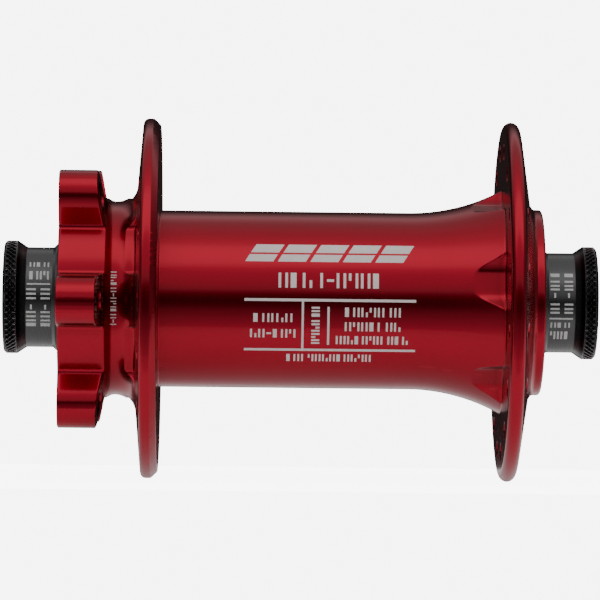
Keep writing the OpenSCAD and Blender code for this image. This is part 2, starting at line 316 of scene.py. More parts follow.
def shell_angles():
    """Angles of the columns of faces round the shell, with one at every edge that the milling leaves."""
    lobe = [
        degrees(atan2(LOBE_R * sin(radians(turn)), BOLT_R + LOBE_R * cos(radians(turn))))
        for turn in range(0, 91, 10)
    ]
    lobe += spread(side_out, side_in, 3)[1:] + spread(side_in, cove_angle, 5)[1:]
    lobe += spread(cove_angle, 30, 5)[1:]
    corner = degrees(atan2(POCKET_HALF_W, POCKET_FLOOR))
    pocket = [0, 2.5, 4.8, 5.7, 6.6, 7.4, corner, 9.1, 10, 10.9, 11.8, 13, 14.3, 15.7, 17.2]
    angles = set()
    for i in range(6):
        for u in lobe:
            angles.update({round((LOBE_TURN + 60 * i + s * u) % 360, 2) for s in (-1, 1)})
        for u in pocket:
            angles.update({round((POCKET_TURN + 60 * i + s * u) % 360, 2) for s in (-1, 1)})
    kept = []
    for a in sorted(angles):
        if not kept or a - kept[-1] > 0.12:
            kept.append(a)
    return kept


def select_only(piece):
    """Makes one piece the active and only selected object."""
    bpy.ops.object.select_all(action="DESELECT")
    piece.select_set(True)
    bpy.context.view_layer.objects.active = piece


def shaped_ring(name, angles, rows_at):
    """A closed ring about the hub's axis, formed from a sheet.

    The sheet has one strip for each angle and one row for each point of the outline.
    """
    count = len(rows_at(angles[0]))
    bpy.ops.object.select_all(action="DESELECT")
    bpy.ops.mesh.primitive_grid_add(x_subdivisions=count, y_subdivisions=len(angles), size=MM)
    piece = bpy.context.object
    piece.name = piece.data.name = name
    for column, angle in enumerate(angles + angles[:1]):
        a = radians(angle)
        rows = rows_at(angle)
        for row, (x, r, sideways) in enumerate(rows + rows[:1]):
            spot = Vector((x, sideways * sin(a) - r * cos(a), sideways * cos(a) + r * sin(a)))
            piece.data.vertices[column * (count + 1) + row].co = spot * MM
    return piece


def close_up(piece, gap=0.004):
    """Merges vertices that fell together and turns every face outwards."""
    select_only(piece)
    bpy.ops.object.mode_set(mode="EDIT")
    bpy.ops.mesh.select_all(action="SELECT")
    bpy.ops.mesh.remove_doubles(threshold=gap * MM)
    bpy.ops.mesh.dissolve_degenerate(threshold=gap * MM)
    bpy.ops.mesh.normals_make_consistent(inside=False)
    bpy.ops.object.mode_set(mode="OBJECT")


def draw_outline(name, points):
    """An outline drawn on from a single vertex; each point is a place along the axis and a radius."""
    bpy.ops.object.select_all(action="DESELECT")
    bpy.ops.mesh.primitive_plane_add(size=MM)
    piece = bpy.context.object
    piece.name = piece.data.name = name
    bpy.ops.object.mode_set(mode="EDIT")
    bpy.ops.mesh.select_all(action="SELECT")
    bpy.ops.mesh.merge(type="CENTER")
    bpy.ops.transform.translate(value=(points[0][0] * MM, 0, points[0][1] * MM))
    for a, b in zip(points, points[1:]):
        move = ((b[0] - a[0]) * MM, 0, (b[1] - a[1]) * MM)
        bpy.ops.mesh.extrude_vertices_move(TRANSFORM_OT_translate={"value": move})
    bpy.ops.object.mode_set(mode="OBJECT")
    return piece


def turn_outline(piece, steps):
    """Spins an outline all the way round the hub's axis."""
    select_only(piece)
    bpy.ops.object.mode_set(mode="EDIT")
    bpy.ops.mesh.select_all(action="SELECT")
    bpy.ops.mesh.spin(steps=steps, angle=tau, center=(0, 0, 0), axis=(1, 0, 0))
    bpy.ops.object.mode_set(mode="OBJECT")
    close_up(piece, 0.001)


def ring_of(cutter, count, radius, first):
    """Copies a cutter that lies on the hub's axis to places round it, and joins the copies."""
    copies = []
    for i in range(count):
        copy = cutter.copy()
        copy.data = cutter.data.copy()
        bpy.context.collection.objects.link(copy)
        out = Matrix.Translation((0, -radius * MM, 0))
        copy.data.transform(Matrix.Rotation(-radians(first + 360 * i / count), 4, "X") @ out)
        copies.append(copy)
    bpy.data.objects.remove(cutter)
    bpy.ops.object.select_all(action="DESELECT")
    for copy in copies:
        copy.select_set(True)
    bpy.context.view_layer.objects.active = copies[0]
    bpy.ops.object.join()
    return copies[0]


def cut(piece, cutter):
    """Cuts one piece with another, which is used up."""
    knife = piece.modifiers.new("cut", "BOOLEAN")
    knife.operation = "DIFFERENCE"
    knife.solver = "EXACT"
    knife.object = cutter
    select_only(piece)
    bpy.ops.object.modifier_apply(modifier=knife.name)
    bpy.data.objects.remove(cutter)


def smooth(piece, angle=34):
    """Smooth shading between sharp edges, with flat faces kept flat up to their broken edges."""
    select_only(piece)
    bpy.ops.object.shade_smooth_by_angle(angle=radians(angle))
    even = piece.modifiers.new("even", "WEIGHTED_NORMAL")
    even.keep_sharp = True
    bpy.ops.object.modifier_apply(modifier=even.name)


columns = shell_angles()
hub_shell = shaped_ring("hub_shell_turned", columns, shell_rows)
close_up(hub_shell)

# Spoke holes: 16 in each flange, slightly countersunk, the right ones half a step round.
SPOKE_COUNT = 16
SPOKE_R = 1.3
SPOKE_SINK = 0.35
LEFT_SPOKES = (LEFT_OUTER - 0.3, LEFT_INNER, 29.0, 0)
RIGHT_SPOKES = (RIGHT_INNER, RIGHT_INNER + 3.35, 28.3, 180 / SPOKE_COUNT)
for low_x, high_x, radius, first in (LEFT_SPOKES, RIGHT_SPOKES):
    outline = [(low_x - 1, 0), (low_x - 1, SPOKE_R + SPOKE_SINK + 1), (low_x + SPOKE_SINK, SPOKE_R)]
    outline += [(high_x - SPOKE_SINK, SPOKE_R), (high_x + 1, SPOKE_R + SPOKE_SINK + 1), (high_x + 1, 0)]
    drill = draw_outline("spoke_drill", outline)
    turn_outline(drill, 28)
    cut(hub_shell, ring_of(drill, SPOKE_COUNT, radius, first))

# Disc bolt holes: one through each lobe, with the ridges of an M5 thread.
THREAD_PITCH = 0.8
THREAD_ROOT = 2.5
THREAD_CREST = 2.1
THREAD_START = LEFT_FACE + 0.5
THREAD_TURNS = 9
TAP_END = LEFT_FACE + 9.2
outline = [(LEFT_FACE - 1, 0), (LEFT_FACE - 1, THREAD_ROOT + 1.25), (LEFT_FACE + 0.4, THREAD_ROOT - 0.15)]
for i in range(THREAD_TURNS):
    x = THREAD_START + i * THREAD_PITCH
    outline += [(x, THREAD_CREST), (x + THREAD_PITCH / 2, THREAD_ROOT)]
outline.append((THREAD_START + THREAD_TURNS * THREAD_PITCH, THREAD_CREST))
outline += [(TAP_END, THREAD_CREST), (TAP_END, 0)]
tap = draw_outline("disc_bolt_tap", outline)
turn_outline(tap, 32)
cut(hub_shell, ring_of(tap, 6, BOLT_R, LOBE_TURN))
smooth(hub_shell)


def turning_marks():
    """Node group: the fine rings that a lathe tool leaves, and a broad unevenness of tone."""
    group = bpy.data.node_groups.new("turning_marks", "ShaderNodeTree")
    face = group.interface
    face.new_socket("Spacing", in_out="INPUT", socket_type="NodeSocketFloat").default_value = 0.00012
    face.new_socket("Patch", in_out="INPUT", socket_type="NodeSocketFloat").default_value = 0.012
    face.new_socket("Rings", in_out="OUTPUT", socket_type="NodeSocketFloat")
    face.new_socket("Tone", in_out="OUTPUT", socket_type="NodeSocketFloat")
    nodes, links = group.nodes, group.links
    given = nodes.new("NodeGroupInput")
    result = nodes.new("NodeGroupOutput")
    where = nodes.new("ShaderNodeTexCoord")
    split = nodes.new("ShaderNodeSeparateXYZ")
    flat = nodes.new("ShaderNodeCombineXYZ")
    length = nodes.new("ShaderNodeVectorMath")
    length.operation = "LENGTH"
    place = nodes.new("ShaderNodeCombineXYZ")
    fine = nodes.new("ShaderNodeMath")
    fine.operation = "DIVIDE"
    fine.inputs[0].default_value = 1
    rings = nodes.new("ShaderNodeTexNoise")
    rings.noise_dimensions = "2D"
    rings.inputs["Detail"].default_value = 3
    broad = nodes.new("ShaderNodeMath")
    broad.operation = "DIVIDE"
    broad.inputs[0].default_value = 1
    tone = nodes.new("ShaderNodeTexNoise")
    tone.inputs["Detail"].default_value = 4
    links.new(where.outputs["Object"], split.inputs[0])
    links.new(split.outputs["Y"], flat.inputs["Y"])
    links.new(split.outputs["Z"], flat.inputs["Z"])
    links.new(flat.outputs[0], length.inputs[0])
    links.new(split.outputs["X"], place.inputs["X"])
    links.new(length.outputs["Value"], place.inputs["Y"])
    links.new(given.outputs["Spacing"], fine.inputs[1])
    links.new(place.outputs[0], rings.inputs["Vector"])
    links.new(fine.outputs[0], rings.inputs["Scale"])
    links.new(given.outputs["Patch"], broad.inputs[1])
    links.new(where.outputs["Object"], tone.inputs["Vector"])
    links.new(broad.outputs[0], tone.inputs["Scale"])
    links.new(rings.outputs["Fac"], result.inputs["Rings"])
    links.new(tone.outputs["Fac"], result.inputs["Tone"])
    return group


def edge_highlight():
    """Node group: a mask that is 1 on outer edges and 0 elsewhere, where a paler colour is painted on as a
    highlight.
    """
    group = bpy.data.node_groups.new("edge_highlight", "ShaderNodeTree")
    face = group.interface
    face.new_socket("Start", in_out="INPUT", socket_type="NodeSocketFloat").default_value = 0.53
    face.new_socket("Full", in_out="INPUT", socket_type="NodeSocketFloat").default_value = 0.6
    face.new_socket("Mask", in_out="OUTPUT", socket_type="NodeSocketFloat")
    nodes, links = group.nodes, group.links
    given = nodes.new("NodeGroupInput")
    result = nodes.new("NodeGroupOutput")
    shape = nodes.new("ShaderNodeNewGeometry")
    mask = nodes.new("ShaderNodeMapRange")
    mask.interpolation_type = "SMOOTHSTEP"
    links.new(shape.outputs["Pointiness"], mask.inputs["Value"])
    links.new(given.outputs["Start"], mask.inputs["From Min"])
    links.new(given.outputs["Full"], mask.inputs["From Max"])
    links.new(mask.outputs["Result"], result.inputs["Mask"])
    return group


marks_group = turning_marks()
edge_highlight_group = edge_highlight()


def anodised(name, deep, light, edge, roughness, spacing, relief):
    """Material: dyed anodised aluminium, two tones of dye mixed unevenly, with a paler colour painted on its
    outer edges as a highlight.
    """
    material = bpy.data.materials.new(name)
    material.use_nodes = True
    nodes, links = material.node_tree.nodes, material.node_tree.links
    shader = nodes["Principled BSDF"]
    marks = nodes.new("ShaderNodeGroup")
    marks.node_tree = marks_group
    marks.inputs["Spacing"].default_value = spacing
    edge_highlight_mask = nodes.new("ShaderNodeGroup")
    edge_highlight_mask.node_tree = edge_highlight_group
    dye = nodes.new("ShaderNodeMix")
    dye.data_type = "RGBA"
    dye.inputs["A"].default_value = (*deep, 1)
    dye.inputs["B"].default_value = (*light, 1)
    # Painted highlight: the outer edges get the paler edge colour.
    edge_highlighted = nodes.new("ShaderNodeMix")
    edge_highlighted.data_type = "RGBA"
    edge_highlighted.inputs["B"].default_value = (*edge, 1)
    gloss = nodes.new("ShaderNodeMapRange")
    gloss.inputs["To Min"].default_value = roughness * 0.88
    gloss.inputs["To Max"].default_value = roughness * 1.14
    bump = nodes.new("ShaderNodeBump")
    bump.inputs["Strength"].default_value = relief
    bump.inputs["Distance"].default_value = 0.02 * MM
    links.new(marks.outputs["Tone"], dye.inputs["Factor"])
    links.new(dye.outputs["Result"], edge_highlighted.inputs["A"])
    links.new(edge_highlight_mask.outputs["Mask"], edge_highlighted.inputs["Factor"])
    links.new(edge_highlighted.outputs["Result"], shader.inputs["Base Color"])
    links.new(marks.outputs["Rings"], gloss.inputs["Value"])
    links.new(gloss.outputs["Result"], shader.inputs["Roughness"])
    links.new(marks.outputs["Rings"], bump.inputs["Height"])
    links.new(bump.outputs["Normal"], shader.inputs["Normal"])
    return material, shader


# The edge colour is a painted highlight along the shell's outer edges, a little paler than the dye.
red_anodised, shader = anodised(
    "red_anodised", deep=(0.25, 0.0, 0.010), light=(0.29, 0.0, 0.014), edge=(0.31, 0.004, 0.018),
    roughness=0.25, spacing=0.0003, relief=0.03,
)
shader.inputs["Metallic"].default_value = 1.0
shader.inputs["Coat Weight"].default_value = 0.28
shader.inputs["Coat Roughness"].default_value = 0.14
shader.inputs["Coat IOR"].default_value = 1.5
hub_shell.data.materials.clear()
hub_shell.data.materials.append(red_anodised)
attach(hub_shell, "shell")
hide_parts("hub_shell")

# ---- Marks on the barrel and in the groove ----
# Plain bars and ticks burnt through the dye by a laser: a row of slanted blocks, a ruled box with
# rows of ticks above, in and below it, and a row of ticks lengthwise in the groove by the disc mount.
MARK_PROUD = 0.015
MARK_DEEP = 0.045
MARK_STROKE = 0.36
SIGNS = {"p": "pair", "i": "post", "b": "broad", "l": "low", "h": "high", "d": "dash", " ": "gap"}
SIGN_WIDTHS = {" ": 0.45, "i": 0.55, "d": 0.8}
SIGN_GAP = 0.22


def bars(low, high, kind, stroke):
    """Strokes of one sign in its cell, as (low u, high u, low v, high v) in millimetres, u along the row."""
    (u0, v0), (u1, v1) = low, high
    middle = (v0 + v1) / 2
    left = (u0, u0 + stroke, v0, v1)
    right = (u1 - stroke, u1, v0, v1)
    if kind == "pair":
        return [left, right]
    if kind == "post":
        return [left]
    if kind == "broad":
        return [(u0, u0 + (u1 - u0) * 0.62, v0, v1)]
    if kind == "low":
        return [left, (u1 - stroke, u1, v0, middle)]
    if kind == "high":
        return [(u0, u0 + stroke, middle, v1), right]
    if kind == "dash":
        return [(u0, u1, middle - stroke / 2, middle + stroke / 2)]
    return []


def row_of_signs(pattern, low, high, stroke):
    """Strokes of a whole row of signs that fills the space from low to high."""
    width = (high[0] - low[0]) / (sum(SIGN_WIDTHS.get(letter, 1) for letter in pattern) - SIGN_GAP)
    found = []
    u = low[0]
    for letter in pattern:
        step = SIGN_WIDTHS.get(letter, 1) * width
        found += bars((u, low[1]), (u + step - width * SIGN_GAP, high[1]), SIGNS[letter], stroke)
        u += step
    return found


def wrap_marks(name, strokes, surface, slant=0.0, level=0.0):
    """Thin plates bent onto a turned surface, for strokes given as (low x, high x, low angle, high angle).

    Above the level angle the strokes lean to the right by the slant, in millimetres for each degree.
    """
    plates = []
    for x0, x1, a0, a1 in strokes:
        across = max(1, round((x1 - x0) / 0.6))
        around = max(1, round((a1 - a0) / 1.5))
        bpy.ops.object.select_all(action="DESELECT")
        bpy.ops.mesh.primitive_grid_add(x_subdivisions=across, y_subdivisions=around, size=MM)
        plate = bpy.context.object
        for i, vertex in enumerate(plate.data.vertices):
            column, row = i % (across + 1), i // (across + 1)
            angle = radians(a0 + (a1 - a0) * row / around)
            x = x0 + (x1 - x0) * column / across + slant * (degrees(angle) - level)
            r = surface(x) + MARK_PROUD
            vertex.co = Vector((x, -r * cos(angle), r * sin(angle))) * MM
        plates.append(plate)
    for plate in plates:
        plate.select_set(True)
    bpy.context.view_layer.objects.active = plates[0]
    bpy.ops.object.join()
    piece = bpy.context.object
    piece.name = piece.data.name = name
    depth = piece.modifiers.new("depth", "SOLIDIFY")
    depth.thickness = MARK_DEEP * MM
    depth.offset = -1
    bpy.ops.object.modifier_apply(modifier=depth.name)
    close_up(piece, 0.0005)
    return piece


def along(low_x, high_x, low_angle, high_angle, pattern, radius, stroke=MARK_STROKE):
    """Strokes of a row of signs that runs along the hub's axis."""
    size = degrees(1 / radius)
    low = (low_x, low_angle / size)
    high = (high_x, high_angle / size)
    return [(u0, u1, v0 * size, v1 * size) for u0, u1, v0, v1 in row_of_signs(pattern, low, high, stroke)]


def sideways(low_x, high_x, top_angle, low_angle, pattern, radius, stroke=MARK_STROKE):
    """Strokes of a row of signs that runs down round the hub, its signs turned a quarter turn."""
    size = degrees(1 / radius)
    low = (-top_angle / size, low_x)
    high = (-low_angle / size, high_x)
    return [(v0, v1, -u1 * size, -u0 * size) for u0, u1, v0, v1 in row_of_signs(pattern, low, high, stroke)]


BOX_LEFT, BOX_RIGHT = -10.4, 21.0
BOX_LOW = -33.6
RULE_X = 0.3
SECOND_RULE_X = 5.0
RULE_HALF = 0.2
rule = degrees(0.25 / BARREL_R)
strokes = [
    (BOX_LEFT, BOX_RIGHT, -rule, rule),
    (BOX_LEFT, BOX_RIGHT, BOX_LOW - rule, BOX_LOW + rule),
    (RULE_X - RULE_HALF, RULE_X + RULE_HALF, BOX_LOW, 0),
    (SECOND_RULE_X - RULE_HALF, SECOND_RULE_X + RULE_HALF, -29.7, -4.2),
]
strokes += along(-4.2, 14.8, 7.8, 17.6, "pbl idphpb", BARREL_R, 0.48)
strokes += along(-8.75, -1.6, -14.3, -8.7, "bpilp", BARREL_R)
strokes += along(-9.3, -1.0, -24.8, -19.0, "lpdbph", BARREL_R)
strokes += sideways(1.9, 3.4, -4.2, -29.1, "pbphlp", BARREL_R)
strokes += along(8.0, 18.2, -10.5, -4.5, "bplhp ip", BARREL_R)
strokes += along(8.0, 18.2, -19.9, -14.0, "phpbi pl", BARREL_R)
strokes += along(6.4, 19.6, -29.1, -23.3, "iplbphp pbl", BARREL_R)
strokes += along(-2.6, 12.9, -42.9, -37.0, "bip hplpbplhp", BARREL_R, 0.33)
barrel_marks = wrap_marks("barrel_marks", strokes, lambda x: BARREL_R)

BLOCK_W = 5.15
BLOCK_STEP = 5.95
emblem = []
for i in range(5):
    x = BOX_LEFT + 1.1 + i * BLOCK_STEP
    emblem += [(x, x + BLOCK_W, 25.2, 30.4), (x, x + BLOCK_W, 31.7, 38.0)]
barrel_emblem = wrap_marks("barrel_emblem", emblem, lambda x: BARREL_R, slant=0.16, level=31.6)


def groove_r(x):
    """Radius of the groove between the disc mount and the left flange."""
    cove = BACK_COVE if x < GROOVE_X else FLANGE_COVE
    return GROOVE_R + cove - sqrt(cove**2 - (x - GROOVE_X) ** 2)


ticks = sideways(GROOVE_X - 0.5, GROOVE_X + 0.55, 15.5, -16.2, "plbpdphbpdi", GROOVE_R, 0.2)
groove_marks = wrap_marks("groove_marks", ticks, groove_r)


def laser_mark(name, tone, roughness):
    """Material: the pale frosted metal that a laser leaves, with the fine parallel lines of its passes."""
    material = bpy.data.materials.new(name)
    material.use_nodes = True
    nodes, links = material.node_tree.nodes, material.node_tree.links
    shader = nodes["Principled BSDF"]
    marks = nodes.new("ShaderNodeGroup")
    marks.node_tree = marks_group
    marks.inputs["Spacing"].default_value = 0.00006
    marks.inputs["Patch"].default_value = 0.0015
    frost = nodes.new("ShaderNodeMix")
    frost.data_type = "RGBA"
    frost.inputs["A"].default_value = (*[t * 0.86 for t in tone], 1)
    frost.inputs["B"].default_value = (*tone, 1)
    gloss = nodes.new("ShaderNodeMapRange")
    gloss.inputs["To Min"].default_value = roughness * 0.85
    gloss.inputs["To Max"].default_value = roughness * 1.15
    links.new(marks.outputs["Tone"], frost.inputs["Factor"])
    links.new(frost.outputs["Result"], shader.inputs["Base Color"])
    links.new(marks.outputs["Rings"], gloss.inputs["Value"])
    links.new(gloss.outputs["Result"], shader.inputs["Roughness"])
    shader.inputs["Specular IOR Level"].default_value = 0.3
    return material


shell_laser = laser_mark("laser_on_red", (0.74, 0.68, 0.66), 0.55)
for piece in (barrel_marks, barrel_emblem, groove_marks):
    piece.data.materials.append(shell_laser)
    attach(piece, "shell")

# ---- End caps ----
# Turned aluminium, anodised black: a spigot with an O-ring groove, a collar, a neck and a head whose
# band is rolled with a diamond knurl of sharp raised lines. The left cap is the right one mirrored.
cap_low, cap_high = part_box("right_end_cap")
CAP_FACE = cap_high.x / MM
CAP_BORE_R = 7.55
SPIGOT_R = 9.97
SPIGOT_X = cap_low.x / MM
CAP_GROOVE_X = 32.0
CAP_GROOVE_HALF = 0.65
CAP_GROOVE_DEPTH = 1.0
COLLAR_R = 11.7
COLLAR_LOW, COLLAR_HIGH = 41.6, 44.0
NECK_R = 9.3
NECK_STEP = 0.6
NECK_LOW = 45.9
HEAD_R = 10.5
HEAD_CHAMFER = 0.45
BAND_W = 2.0
BAND_X = CAP_FACE - HEAD_CHAMFER - BAND_W
KNURL_COLUMNS = 112
KNURL_ROWS = 4
KNURL_DEPTH = 0.26
KNURL_WALL = 0.2


def softened(points, size, steps=2):
    """An outline with every corner rounded a little, its sides running straight between the corners."""
    rounded = []
    for i, (x, r) in enumerate(points):
        sides = [(p[0] - x, p[1] - r) for p in (points[i - 1], points[(i + 1) % len(points)])]
        reach = min(size, *[hypot(*side) * 0.4 for side in sides])
        start, end = [(x + dx * reach / hypot(dx, dr), r + dr * reach / hypot(dx, dr)) for dx, dr in sides]
        for t in spread(0, 1, steps):
            keep = (1 - t) ** 2, 2 * t * (1 - t), t * t
            rounded.append(tuple(keep[0] * start[k] + keep[1] * (x, r)[k] + keep[2] * end[k] for k in (0, 1)))
    return rounded


profile = softened([
    (CAP_FACE, CAP_BORE_R + 0.3), (CAP_FACE - 0.3, CAP_BORE_R), (SPIGOT_X, CAP_BORE_R),
    (SPIGOT_X, SPIGOT_R - 0.4), (SPIGOT_X + 0.4, SPIGOT_R), (CAP_GROOVE_X - CAP_GROOVE_HALF, SPIGOT_R),
    (CAP_GROOVE_X - CAP_GROOVE_HALF, SPIGOT_R - CAP_GROOVE_DEPTH),
    (CAP_GROOVE_X + CAP_GROOVE_HALF, SPIGOT_R - CAP_GROOVE_DEPTH),
    (CAP_GROOVE_X + CAP_GROOVE_HALF, SPIGOT_R), (COLLAR_LOW, SPIGOT_R), (COLLAR_LOW, COLLAR_R),
    (COLLAR_HIGH, COLLAR_R), (COLLAR_HIGH, NECK_R + NECK_STEP), (NECK_LOW - NECK_STEP, NECK_R + NECK_STEP),
    (NECK_LOW, NECK_R), (BAND_X - 1.8, NECK_R), (BAND_X - 0.06, HEAD_R - 0.04),
    (CAP_FACE - HEAD_CHAMFER + 0.06, HEAD_R - 0.06), (CAP_FACE, HEAD_R - HEAD_CHAMFER),
], 0.12)
start = next(i for i, (x, r) in enumerate(profile) if abs(x - BAND_X) < 0.12 and r > HEAD_R - 0.08)
while profile[start + 1][0] < BAND_X + 0.2:
    del profile[start + 1]
band = [(x, HEAD_R) for x in spread(BAND_X, CAP_FACE - HEAD_CHAMFER, KNURL_ROWS)]
cap_outline = profile[:start] + band + profile[start + 1:]


def cap_rows(angle):
    """The cap's outline, the same all the way round."""
    return plain_rows(cap_outline)


cap_columns = [360 * i / KNURL_COLUMNS for i in range(KNURL_COLUMNS)]
right_cap = shaped_ring("right_cap_knurled", cap_columns, cap_rows)
close_up(right_cap)

# The knurl: the band's squares are split corner to corner into a lattice, and each diamond is sunk.
pitch_angle = 360 / KNURL_COLUMNS
pitch_x = BAND_W / KNURL_ROWS


def lattice_place(vertex):
    """Row and column of a vertex on the head's band, or None for any other vertex."""
    x, y, z = vertex.co / MM
    if not BAND_X - 0.01 < x < CAP_FACE - HEAD_CHAMFER + 0.01 or abs(hypot(y, z) - HEAD_R) > 0.01:
        return None
    return round((x - BAND_X) / pitch_x), round(degrees(atan2(z, -y)) / pitch_angle) % KNURL_COLUMNS


for odd, split in ((0, "FIXED"), (1, "FIXED_ALTERNATE")):
    select_only(right_cap)
    bpy.ops.object.mode_set(mode="EDIT")
    bpy.ops.mesh.select_all(action="DESELECT")
    bpy.ops.mesh.select_mode(type="FACE")
    bpy.ops.object.mode_set(mode="OBJECT")
    mesh = right_cap.data
    for face in mesh.polygons:
        places = [lattice_place(mesh.vertices[v]) for v in face.vertices]
        if len(places) == 4 and None not in places:
            face.select = (places[0][0] + places[0][1]) % 2 == odd
    bpy.ops.object.mode_set(mode="EDIT")
    bpy.ops.mesh.quads_convert_to_tris(quad_method=split)
    bpy.ops.object.mode_set(mode="OBJECT")

bpy.ops.object.mode_set(mode="EDIT")
bpy.ops.mesh.select_mode(type="VERT")
bpy.ops.mesh.select_all(action="DESELECT")
bpy.ops.object.mode_set(mode="OBJECT")
for vertex in right_cap.data.vertices:
    place = lattice_place(vertex)
    vertex.select = place is not None and sum(place) % 2 == 1 and 0 < place[0] < KNURL_ROWS
bpy.ops.object.mode_set(mode="EDIT")
bpy.ops.mesh.dissolve_verts()
bpy.ops.mesh.select_mode(type="FACE")
bpy.ops.mesh.select_all(action="DESELECT")
bpy.ops.object.mode_set(mode="OBJECT")
for face in right_cap.data.polygons:
    places = [lattice_place(right_cap.data.vertices[v]) for v in face.vertices]
    face.select = None not in places
bpy.ops.object.mode_set(mode="EDIT")
bpy.ops.mesh.inset(
    thickness=KNURL_WALL * MM, depth=-KNURL_DEPTH * MM, use_individual=True, use_even_offset=True,
)
bpy.ops.object.mode_set(mode="OBJECT")
close_up(right_cap, 0.002)
smooth(right_cap, 30)

left_cap = right_cap.copy()
left_cap.data = right_cap.data.copy()
left_cap.name = left_cap.data.name = "left_cap_knurled"
bpy.context.collection.objects.link(left_cap)
select_only(left_cap)
bpy.ops.object.mode_set(mode="EDIT")
bpy.ops.mesh.select_all(action="SELECT")
bpy.ops.transform.mirror(
    constraint_axis=(True, False, False), orient_type="GLOBAL", center_override=(0, 0, 0),
)
bpy.ops.mesh.normals_make_consistent(inside=False)
bpy.ops.object.mode_set(mode="OBJECT")
smooth(left_cap, 30)


def knurl_highlight_and_shade():
    """Node group: masks for the knurl's raised lines, which are painted pale grey as a highlight, and for its
    pits, which are made dark as painted shade.
    """
    group = bpy.data.node_groups.new("knurl_highlight_and_shade", "ShaderNodeTree")
    group.interface.new_socket("Lines", in_out="OUTPUT", socket_type="NodeSocketFloat")
    group.interface.new_socket("Pits", in_out="OUTPUT", socket_type="NodeSocketFloat")
    nodes, links = group.nodes, group.links
    result = nodes.new("NodeGroupOutput")
    where = nodes.new("ShaderNodeTexCoord")
    split = nodes.new("ShaderNodeSeparateXYZ")
    flat = nodes.new("ShaderNodeCombineXYZ")
    length = nodes.new("ShaderNodeVectorMath")
    length.operation = "LENGTH"
    pits = nodes.new("ShaderNodeMapRange")
    pits.inputs["From Min"].default_value = (HEAD_R - 0.8) * MM
    pits.inputs["From Max"].default_value = (HEAD_R - 0.35) * MM
    crest = nodes.new("ShaderNodeMapRange")
    crest.inputs["From Min"].default_value = (HEAD_R - 0.06) * MM
    crest.inputs["From Max"].default_value = (HEAD_R - 0.01) * MM
    inner = nodes.new("ShaderNodeMath")
    inner.operation = "LESS_THAN"
    inner.inputs[1].default_value = (HEAD_R + 0.2) * MM
    both = nodes.new("ShaderNodeMath")
    both.operation = "MULTIPLY"
    links.new(where.outputs["Object"], split.inputs[0])
    links.new(split.outputs["Y"], flat.inputs["Y"])
    links.new(split.outputs["Z"], flat.inputs["Z"])
    links.new(flat.outputs[0], length.inputs[0])
    links.new(length.outputs["Value"], crest.inputs["Value"])
    links.new(length.outputs["Value"], inner.inputs[0])
    links.new(crest.outputs["Result"], both.inputs[0])
    links.new(inner.outputs[0], both.inputs[1])
    links.new(both.outputs[0], result.inputs["Lines"])
    links.new(length.outputs["Value"], pits.inputs["Value"])
    links.new(pits.outputs["Result"], result.inputs["Pits"])
    return group


# The edge colour is a painted highlight: grey along the caps' outer edges.
black_anodised, shader = anodised(
    "black_anodised", deep=(0.006, 0.006, 0.007), light=(0.011, 0.011, 0.012), edge=(0.10, 0.10, 0.10),
    roughness=0.27, spacing=0.00014, relief=0.2,
)
shader.inputs["Specular IOR Level"].default_value = 0.75
nodes, links = black_anodised.node_tree.nodes, black_anodised.node_tree.links
crest = nodes.new("ShaderNodeGroup")
crest.node_tree = knurl_highlight_and_shade()
# Painted highlight: the knurl's raised lines get a pale grey base colour.
crest_highlighted = nodes.new("ShaderNodeMix")
crest_highlighted.data_type = "RGBA"
crest_highlighted.inputs["B"].default_value = (0.42, 0.42, 0.42, 1)
links.new(shader.inputs["Base Color"].links[0].from_socket, crest_highlighted.inputs["A"])
links.new(crest.outputs["Lines"], crest_highlighted.inputs["Factor"])
# Painted shade: the knurl's pits are made fully metallic on the near-black base, so they reflect next to
# nothing.
links.new(crest.outputs["Pits"], shader.inputs["Metallic"])
links.new(crest_highlighted.outputs["Result"], shader.inputs["Base Color"])
for piece, body, node in ((left_cap, "left_cap", "left_end_cap"), (right_cap, "right_cap", "right_end_cap")):
    piece.data.materials.clear()
    piece.data.materials.append(black_anodised)
    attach(piece, body)
    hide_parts(node)

# ---- Marks on the end caps ----
# The same laser bars on each neck: two rows of ticks round it, a line, and a block of two short rows.
# Each cap's marks read from its own side, so the right cap's are the left cap's turned half round.


def neck_r(x):
    """Radius of both necks."""
    return NECK_R


left_strokes = along(-50.1, -46.5, 37.0, 43.5, "pbp", NECK_R, 0.3)
left_strokes += along(-50.1, -46.5, 20.5, 31.0, "bph", NECK_R)
left_strokes += [(-50.5, -46.2, 14.2, 16.0)]
for low_x, high_x in ((-50.6, -48.8), (-47.95, -46.2)):
    left_strokes += sideways(low_x, high_x, 10.0, -38.0, "ip dipb", NECK_R)
left_cap_marks = wrap_marks("left_cap_marks", left_strokes, neck_r)
right_strokes = along(46.2, 49.8, -29.5, -23.0, "pbp", NECK_R, 0.3)
right_strokes += along(46.2, 49.8, -46.0, -34.5, "hpb", NECK_R)
right_strokes += [(46.0, 50.3, -19.2, -17.4)]
for low_x, high_x in ((46.1, 47.8), (48.7, 50.3)):
    right_strokes += sideways(low_x, high_x, 35.5, -13.3, "bpid pi", NECK_R)
right_cap_marks = wrap_marks("right_cap_marks", right_strokes, neck_r)
cap_laser = laser_mark("laser_on_black", (0.62, 0.62, 0.61), 0.5)
for piece, body in ((left_cap_marks, "left_cap"), (right_cap_marks, "right_cap")):
    piece.data.materials.append(cap_laser)
    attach(piece, body)

# ---- Sleeve, O-rings and dust seals ----
# The aluminium sleeve between the bearings and the moulded rubber rings keep their CAD shapes.


